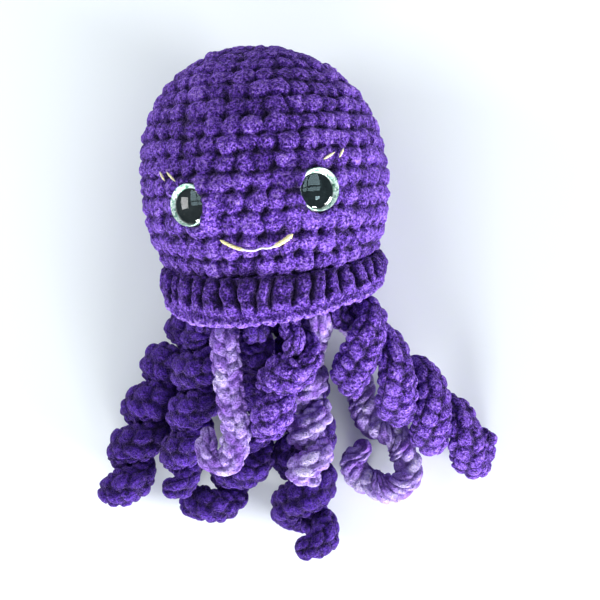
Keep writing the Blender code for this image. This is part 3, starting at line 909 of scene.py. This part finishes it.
def build_tentacle(name, plan, yarn, seed):
    """A ribbon along the coil, plumped up inwards, with a braid of stitches in relief."""
    sides = 60
    middle, outward, coil = coil_line(plan, 700)
    run = running(steps_of(middle))
    stations = int(run[-1] / (0.8 * MM))
    want = np.linspace(0, run[-1], stations)
    middle, outward = (
        np.stack([np.interp(want, run, v[:, k]) for k in range(3)], 1) for v in (middle, outward)
    )
    coil = np.interp(want, run, coil)
    along = unit(np.gradient(middle, axis=0))
    outward = unit(outward - along * (outward * along).sum(1, keepdims=True))
    across = np.cross(along, outward)
    share = np.linspace(0, 1, stations)
    spread = ease(share / 0.14)
    tip = 0.6 + 0.4 * ease((1 - share) / 0.05)
    half_width = (ROOT_BEAD + (plan["width"] * MM / 2 - ROOT_BEAD) * spread) * tip
    half_thick = (ROOT_BEAD + (RIBBON_THICKNESS / 2 - ROOT_BEAD) * spread) * (0.4 + 0.6 * tip)
    plump = np.clip((coil - 4.5 * MM) / 1.75, LEAST_PLUMP.get(name, 0), MOST_PLUMP) * spread * tip
    middle = middle - outward * (0.75 * plump)[:, None]
    half_thick = half_thick + plump
    theta = around(sides)
    c, s = np.cos(theta), np.sin(theta)
    roundness = 2 / 2.15
    wide = half_width[:, None] * np.sign(c) * np.abs(c) ** roundness
    thick = half_thick[:, None] * np.sign(s) * np.abs(s) ** roundness
    body = middle[:, None] + across[:, None] * wide[..., None] + outward[:, None] * thick[..., None]
    caps = []
    for end, direction in ((0, -1), (-1, 1)):
        reach = half_thick[end]
        cap = []
        for k in (0.94, 0.75, 0.5, 0.25):
            turn = pi / 2 * k
            centre = middle[end] + direction * along[end] * reach * sin(turn)
            cap.append(centre + (body[end] - middle[end]) * cos(turn))
        point = middle[end] + direction * along[end] * reach
        cap.insert(0, np.repeat(point[None], sides, 0))
        caps.append(np.stack(cap))
    smooth = np.concatenate([caps[0], body, caps[1][::-1]])
    extra = len(caps[0])
    want = np.concatenate([np.full(extra, want[0]), want, np.full(extra, want[-1])])
    out = normals(smooth)
    if (out[extra:-extra] * (body - middle[:, None])).sum() < 0:
        out = -out
    sharp = theta[None] * BRAID_COLUMNS / (2 * pi)
    column = np.rint(sharp)
    a = sharp - column
    odd = column % 2
    lean = np.where(odd > 0, -0.35, 0.35)
    wobble = (1.2 * MM * noise(smooth, 9 * MM, seed + 40)
              + 0.7 * MM * noise(smooth, 5 * MM, seed + 50))
    t = (want[:, None] + wobble) / BRAID_PITCH + 0.5 * odd + lean * a
    row = np.floor(t)
    b = t - row
    luck = scrambled(row * BRAID_COLUMNS + column % BRAID_COLUMNS + 1009 * seed)
    row_gap = bump(BRAID_PITCH * np.minimum(b, 1 - b), ROW_GAP)
    column_gap = bump(BRAID_WIDTH * (0.5 - np.abs(a)), COLUMN_GAP)
    height = (
        (2.0 + 0.8 * luck) * pillow(a, b - 0.5) - 1.6
        - 0.8 * row_gap * cushion(a, 4) - 0.7 * column_gap
    ) * MM
    # painted shade: the tentacle's colour darkens between its stitches
    painted_shading = painted_shading_of(height, 2.6 * MM)
    height = height + pile(smooth, 0.8) + 0.4 * MM * noise(smooth, 12 * MM, seed + 60)
    fade = np.ones(len(smooth))
    fade[:extra] = np.linspace(0.2, 1, extra)
    fade[-extra:] = np.linspace(1, 0.2, extra)
    height = height * fade[:, None]
    grid = smooth + out * height[..., None]
    grid[..., 2] = np.maximum(grid[..., 2], 0)
    grid[0] = grid[0].mean(0)
    grid[-1] = grid[-1].mean(0)
    values = {"painted_shading": painted_shading, "stitch": luck}
    piece = ball(name.replace("tentacle", "curl"), grid, yarn, values)
    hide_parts(name)
    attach(piece, name.replace("tentacle_", ""))


# ---- materials -------------------------------------------------------------

class Nodes:
    """A node tree, and short ways to add to it."""

    def __init__(self, tree):
        self.tree = tree

    def add(self, kind, **settings):
        node = self.tree.nodes.new(kind)
        for key, value in settings.items():
            setattr(node, key, value)
        return node

    def feed(self, socket, item):
        """Set the socket to a number or a colour, or link another socket to it."""
        if isinstance(item, bpy.types.NodeSocket):
            self.tree.links.new(item, socket)
        else:
            socket.default_value = (*item, 1) if isinstance(item, tuple) else item

    def math(self, operation, *items, clamp=False):
        node = self.add("ShaderNodeMath", operation=operation, use_clamp=clamp)
        for socket, item in zip(node.inputs, items):
            self.feed(socket, item)
        return node.outputs[0]


class Shader(Nodes):
    """A material with a Principled shader, fed by textures that stay on the object."""

    def __init__(self, name, **constants):
        self.material = bpy.data.materials.new(name)
        self.material.use_nodes = True
        super().__init__(self.material.node_tree)
        self.inputs = self.tree.nodes["Principled BSDF"].inputs
        for key, value in constants.items():
            self.inputs[key.replace("_", " ")].default_value = value
        self.place = self.add("ShaderNodeTexCoord").outputs["Object"]

    def noise(self, size, detail=2.0, roughness=0.5):
        """Noise with lumps about size metres across."""
        node = self.add("ShaderNodeTexNoise")
        node.inputs["Scale"].default_value = 1 / size
        node.inputs["Detail"].default_value = detail
        node.inputs["Roughness"].default_value = roughness
        self.feed(node.inputs["Vector"], self.place)
        return node.outputs["Fac"]

    def cells(self, size, output="Distance"):
        """Cells about size metres across."""
        node = self.add("ShaderNodeTexVoronoi")
        node.inputs["Scale"].default_value = 1 / size
        self.feed(node.inputs["Vector"], self.place)
        return node.outputs[output]

    def value(self, name):
        """A number that the mesh carries at each point."""
        return self.add("ShaderNodeAttribute", attribute_name=name).outputs["Fac"]

    def ramp(self, factor, stops):
        node = self.add("ShaderNodeValToRGB")
        while len(node.color_ramp.elements) < len(stops):
            node.color_ramp.elements.new(0.5)
        for element, (where, colour) in zip(node.color_ramp.elements, stops):
            element.position = where
            element.color = (*colour, 1)
        self.feed(node.inputs["Fac"], factor)
        return node.outputs["Color"]

    def mix(self, factor, a, b, blend="MIX"):
        node = self.add("ShaderNodeMix", data_type="RGBA", blend_type=blend)
        colours = [socket for socket in node.inputs if socket.type == "RGBA"]
        for socket, item in zip((node.inputs[0], *colours), (factor, a, b)):
            self.feed(socket, item)
        return next(socket for socket in node.outputs if socket.type == "RGBA")

    def bump(self, height, distance, below=None):
        node = self.add("ShaderNodeBump")
        node.inputs["Distance"].default_value = distance
        self.feed(node.inputs["Height"], height)
        if below is not None:
            self.feed(node.inputs["Normal"], below)
        return node.outputs["Normal"]


def chenille(name, colours, sheen, variegated=None, contrast=1.0):
    """Velvety chenille yarn: tufts of pile in mottled tones, paler where they rise as a painted
    highlight on their tips, and darker between stitches as painted shade. The colours run from dark
    to pale;
    variegated yarn has stops of its own that change along it, and takes only the dark one, for the
    painted shade between its stitches."""
    shader = Shader(name, Roughness=0.92, Sheen_Weight=sheen, Sheen_Roughness=0.38,
                    Sheen_Tint=(0.52, 0.32, 1.0, 1), Specular_IOR_Level=0.08)
    tufts = shader.noise(1.8 * MM, 3, 0.62)
    crumbs = shader.cells(2.1 * MM)
    fibres = shader.noise(0.9 * MM, 2, 0.65)
    drift = shader.noise(20 * MM, 1, 0.5)
    depth = shader.value("painted_shading")
    # the pile's mottled tone, paler where the bump rises (painted highlight) and darker in its gaps
    # and the stitches' crevices (painted shade)
    grain_and_shading = shader.math("MULTIPLY_ADD", tufts, 0.8,
                        shader.math("MULTIPLY_ADD", fibres, 0.55, -0.255))
    for source, share, offset in ((crumbs, -0.2, 0.19), (drift, 0.14, -0.07), (depth, -0.30, 0.09)):
        grain_and_shading = shader.math("ADD", grain_and_shading, shader.math("MULTIPLY_ADD", source, share, offset))
    grain_and_shading = shader.math("MULTIPLY_ADD", grain_and_shading, contrast, 0.49 * (1 - contrast))
    if variegated:
        patches = shader.noise(9 * MM, 1, 0.5)
        patches = shader.math("MULTIPLY_ADD", shader.value("stitch"), 0.16,
                              shader.math("ADD", patches, -0.08))
        yarn = shader.ramp(patches, variegated)
        pile_tone_and_shading = shader.ramp(
            grain_and_shading, [(0.34, (0.66, 0.62, 0.72)), (0.5, (1.1, 1.1, 1.08)), (0.66, (1.5, 1.5, 1.4))]
        )
        base = shader.mix(1.0, yarn, pile_tone_and_shading, "MULTIPLY")
    else:
        base = shader.ramp(grain_and_shading, list(zip((0.33, 0.48, 0.64, 0.78), colours)))
    # painted shade: the deepest places take the darkest colour
    shade = shader.math("MULTIPLY_ADD", depth, 1.7, -0.5, clamp=True)
    shader.feed(shader.inputs["Base Color"], shader.mix(shade, base, colours[0]))
    normal = shader.bump(tufts, 2.4 * MM)
    normal = shader.bump(crumbs, -0.8 * MM, normal)
    normal = shader.bump(fibres, 0.9 * MM, normal)
    shader.feed(shader.inputs["Normal"], normal)
    return shader.material


def mottled(name, size, detail, stops, rough=None, **constants):
    """Plastic whose colour, and its roughness if rough is given, vary with fine noise."""
    shader = Shader(name, **constants)
    spots = shader.noise(size, detail)
    shader.feed(shader.inputs["Base Color"], shader.ramp(spots, stops))
    if rough:
        shader.feed(shader.inputs["Roughness"], shader.math("MULTIPLY_ADD", spots, *rough))
    return shader.material


def make_materials():
    floss = Shader("yellow_floss", Roughness=0.6, Sheen_Weight=0.3, Sheen_Roughness=0.3)
    strands = floss.noise(0.5 * MM, 2)
    yellow = floss.ramp(
        strands, [(0.35, (0.62, 0.50, 0.16)), (0.5, (0.86, 0.78, 0.34)), (0.65, (0.95, 0.92, 0.62))]
    )
    floss.feed(floss.inputs["Base Color"], floss.mix(floss.value("pale"), yellow, (0.86, 0.82, 0.84)))
    floss.feed(floss.inputs["Normal"], floss.bump(strands, 0.2 * MM))

    glitter = Shader("mint_glitter", Roughness=0.4, Metallic=0.25)
    split = glitter.add("ShaderNodeSeparateColor")
    glitter.feed(split.inputs[0], glitter.cells(0.75 * MM, "Color"))
    flakes = glitter.ramp(split.outputs[0], [
        (0.0, (0.02, 0.11, 0.07)), (0.2, (0.14, 0.40, 0.28)),
        (0.45, (0.46, 0.70, 0.60)), (0.75, (0.85, 0.95, 0.91)),
    ])
    glitter.feed(glitter.inputs["Base Color"], flakes)
    glitter.feed(glitter.inputs["Normal"], glitter.bump(split.outputs[1], 0.5 * MM))

    clear = Shader("eye_clear", Roughness=0.01, Transmission_Weight=1.0, IOR=1.46,
                   Base_Color=(0.985, 0.995, 0.99, 1))
    return {
        "plain": chenille("violet_chenille", (
            (0.002, 0.0003, 0.018), (0.055, 0.010, 0.29), (0.31, 0.13, 0.92), (0.56, 0.35, 1.0)
        ), 0.7),
        # painted shade: a darker, softer copy of the violet for the tentacles lying low and behind
        "deep": chenille("shaded_violet_chenille", (
            (0.0015, 0.0002, 0.011), (0.023, 0.0035, 0.155), (0.125, 0.04, 0.55), (0.26, 0.12, 0.78)
        ), 0.7, contrast=0.6),
        # the variegated yarn's one colour here is the painted shade between its stitches
        "variegated": chenille("lilac_chenille", ((0.17, 0.09, 0.38),), 0.5, variegated=[
            (0.3, (0.23, 0.10, 0.56)), (0.45, (0.36, 0.22, 0.74)),
            (0.58, (0.48, 0.35, 0.86)), (0.74, (0.66, 0.57, 0.95)),
        ]),
        "seam": chenille("seam_yarn", (
            (0.012, 0.004, 0.06), (0.07, 0.025, 0.26), (0.2, 0.1, 0.5), (0.3, 0.18, 0.6)
        ), 0.4),
        "fibre": chenille("white_fibre", (
            (0.55, 0.55, 0.57), (0.8, 0.8, 0.8), (0.92, 0.92, 0.92), (0.96, 0.96, 0.96)
        ), 0.3),
        "floss": floss.material,
        "glitter": glitter.material,
        "clear": clear.material,
        "pupil": mottled(
            "pupil_black", 2.4 * MM, 1, [(0.3, (0.003, 0.005, 0.006)), (0.8, (0.012, 0.018, 0.02))],
            Roughness=0.06, Specular_IOR_Level=0.5,
        ),
        "black": mottled(
            "eye_black", 1.2 * MM, 3, [(0.3, (0.006, 0.006, 0.007)), (0.7, (0.016, 0.016, 0.018))],
            (0.2, 0.12), Specular_IOR_Level=0.5,
        ),
        "washer": mottled(
            "washer_white", 1.5 * MM, 3, [(0.3, (0.7, 0.7, 0.68)), (0.7, (0.82, 0.82, 0.8))],
            (0.15, 0.38), Specular_IOR_Level=0.4,
        ),
    }


# ---- stage, light and camera -----------------------------------------------

def build_stage():
    paper = Shader("pale_floor", Roughness=0.8, Specular_IOR_Level=0.2,
                   Base_Color=(0.90, 0.95, 0.975, 1))
    bpy.ops.mesh.primitive_plane_add(size=6, location=(0, 0, -0.05 * MM))
    floor = bpy.context.object
    floor.name = "floor"
    floor.data.materials.append(paper.material)


def build_room():
    """A bright even room. Gloss sees it darker, with a window overhead that the eyes catch."""
    world = bpy.data.worlds.new("room")
    world.use_nodes = True
    room = Nodes(world.node_tree)
    math = room.math

    def background(colour, strength, node=None):
        node = node or room.add("ShaderNodeBackground")
        room.feed(node.inputs["Color"], colour)
        room.feed(node.inputs["Strength"], strength)
        return node.outputs[0]

    # places on the ceiling, seen from the toy: the window with its two bars, and a lamp
    split = room.add("ShaderNodeSeparateXYZ")
    room.feed(split.inputs[0], room.add("ShaderNodeTexCoord").outputs["Generated"])
    x, y, z = split.outputs
    up = math("MAXIMUM", z, 0.01)
    across, along = math("DIVIDE", x, up), math("DIVIDE", y, up)
    pane = math("MULTIPLY", math("COMPARE", across, 0.0, 0.85), math("COMPARE", along, 0.55, 0.7))
    bars = math("MAXIMUM", math("COMPARE", across, -0.1, 0.05), math("COMPARE", along, 0.1, 0.04))
    pane = math("MULTIPLY", pane, math("SUBTRACT", 1.0, bars))
    lamp = math("MULTIPLY", math("COMPARE", across, 0.62, 0.16), math("COMPARE", along, -0.62, 0.14))
    bright = math("MULTIPLY_ADD", pane, 4.6, math("MULTIPLY_ADD", lamp, 15.0, 0.22))

    shown = background((0.93, 0.97, 1.0), 0.57, room.tree.nodes["Background"])
    window = background((0.60, 0.86, 0.95), bright)
    backdrop = background((0.88, 0.95, 1.0), 0.85)
    rays = room.add("ShaderNodeLightPath").outputs
    for kind, other in (("Is Glossy Ray", window), ("Is Camera Ray", backdrop)):
        mix = room.add("ShaderNodeMixShader")
        for socket, item in zip(mix.inputs, (rays[kind], shown, other)):
            room.feed(socket, item)
        shown = mix.outputs[0]
    room.feed(room.tree.nodes["World Output"].inputs["Surface"], shown)
    bpy.context.scene.world = world


def area_light(name, place, aim, size, power):
    data = bpy.data.lights.new(name, "AREA")
    data.shape = "RECTANGLE"
    data.size, data.size_y = size
    data.energy = power
    made = bpy.data.objects.new(name, data)
    made.location = place
    made.rotation_mode = "QUATERNION"
    made.rotation_quaternion = (Vector(aim) - Vector(place)).to_track_quat("-Z", "Y")
    made.visible_camera = False
    bpy.context.scene.collection.objects.link(made)


def build_lights():
    centre = (0, -0.06, 0.05)
    area_light("window_left", (-0.95, 0.05, 0.6), centre, (0.5, 0.4), 6.5)
    area_light("lamp_right", (3.2, -2.1, 0.72), centre, (1.6, 1.0), 265.0)
    area_light("lamp_front", (0.1, -5.0, 0.75), centre, (2.0, 1.0), 430.0)


def build_camera():
    """The photograph's view, from straight above with the crown turned a little."""
    data = bpy.data.cameras.new("camera")
    data.sensor_width = 36
    data.lens = 64.74
    made = bpy.data.objects.new("camera", data)
    made.location = (0.0124, -0.0637, 0.612)
    made.rotation_euler = (0, 0, radians(-5))
    bpy.context.scene.collection.objects.link(made)
    bpy.context.scene.camera = made


def main():
    slots = make_materials()
    build_camera()
    build_lights()
    build_stage()
    build_room()
    build_head_cover(slots["plain"])
    build_stuffing(slots["fibre"])
    build_disc(slots["plain"])
    build_brim(slots["plain"])
    build_seam(slots["seam"])
    for side in EYE_LEVEL:
        build_eye(side, slots)
        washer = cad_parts["eye_washer_" + side]
        washer.data.materials.clear()
        washer.data.materials.append(slots["washer"])
    build_mouth(slots)
    build_lashes(slots)
    for seed, (name, plan) in enumerate(TENTACLES.items()):
        # painted shade: the plain tentacles behind take the darker violet
        shaded = plan["yarn"] == "plain" and name not in NEAR_TENTACLES
        build_tentacle(name, plan, slots["deep" if shaded else plan["yarn"]], seed)
    bpy.context.scene.view_settings.view_transform = "Standard"


main()
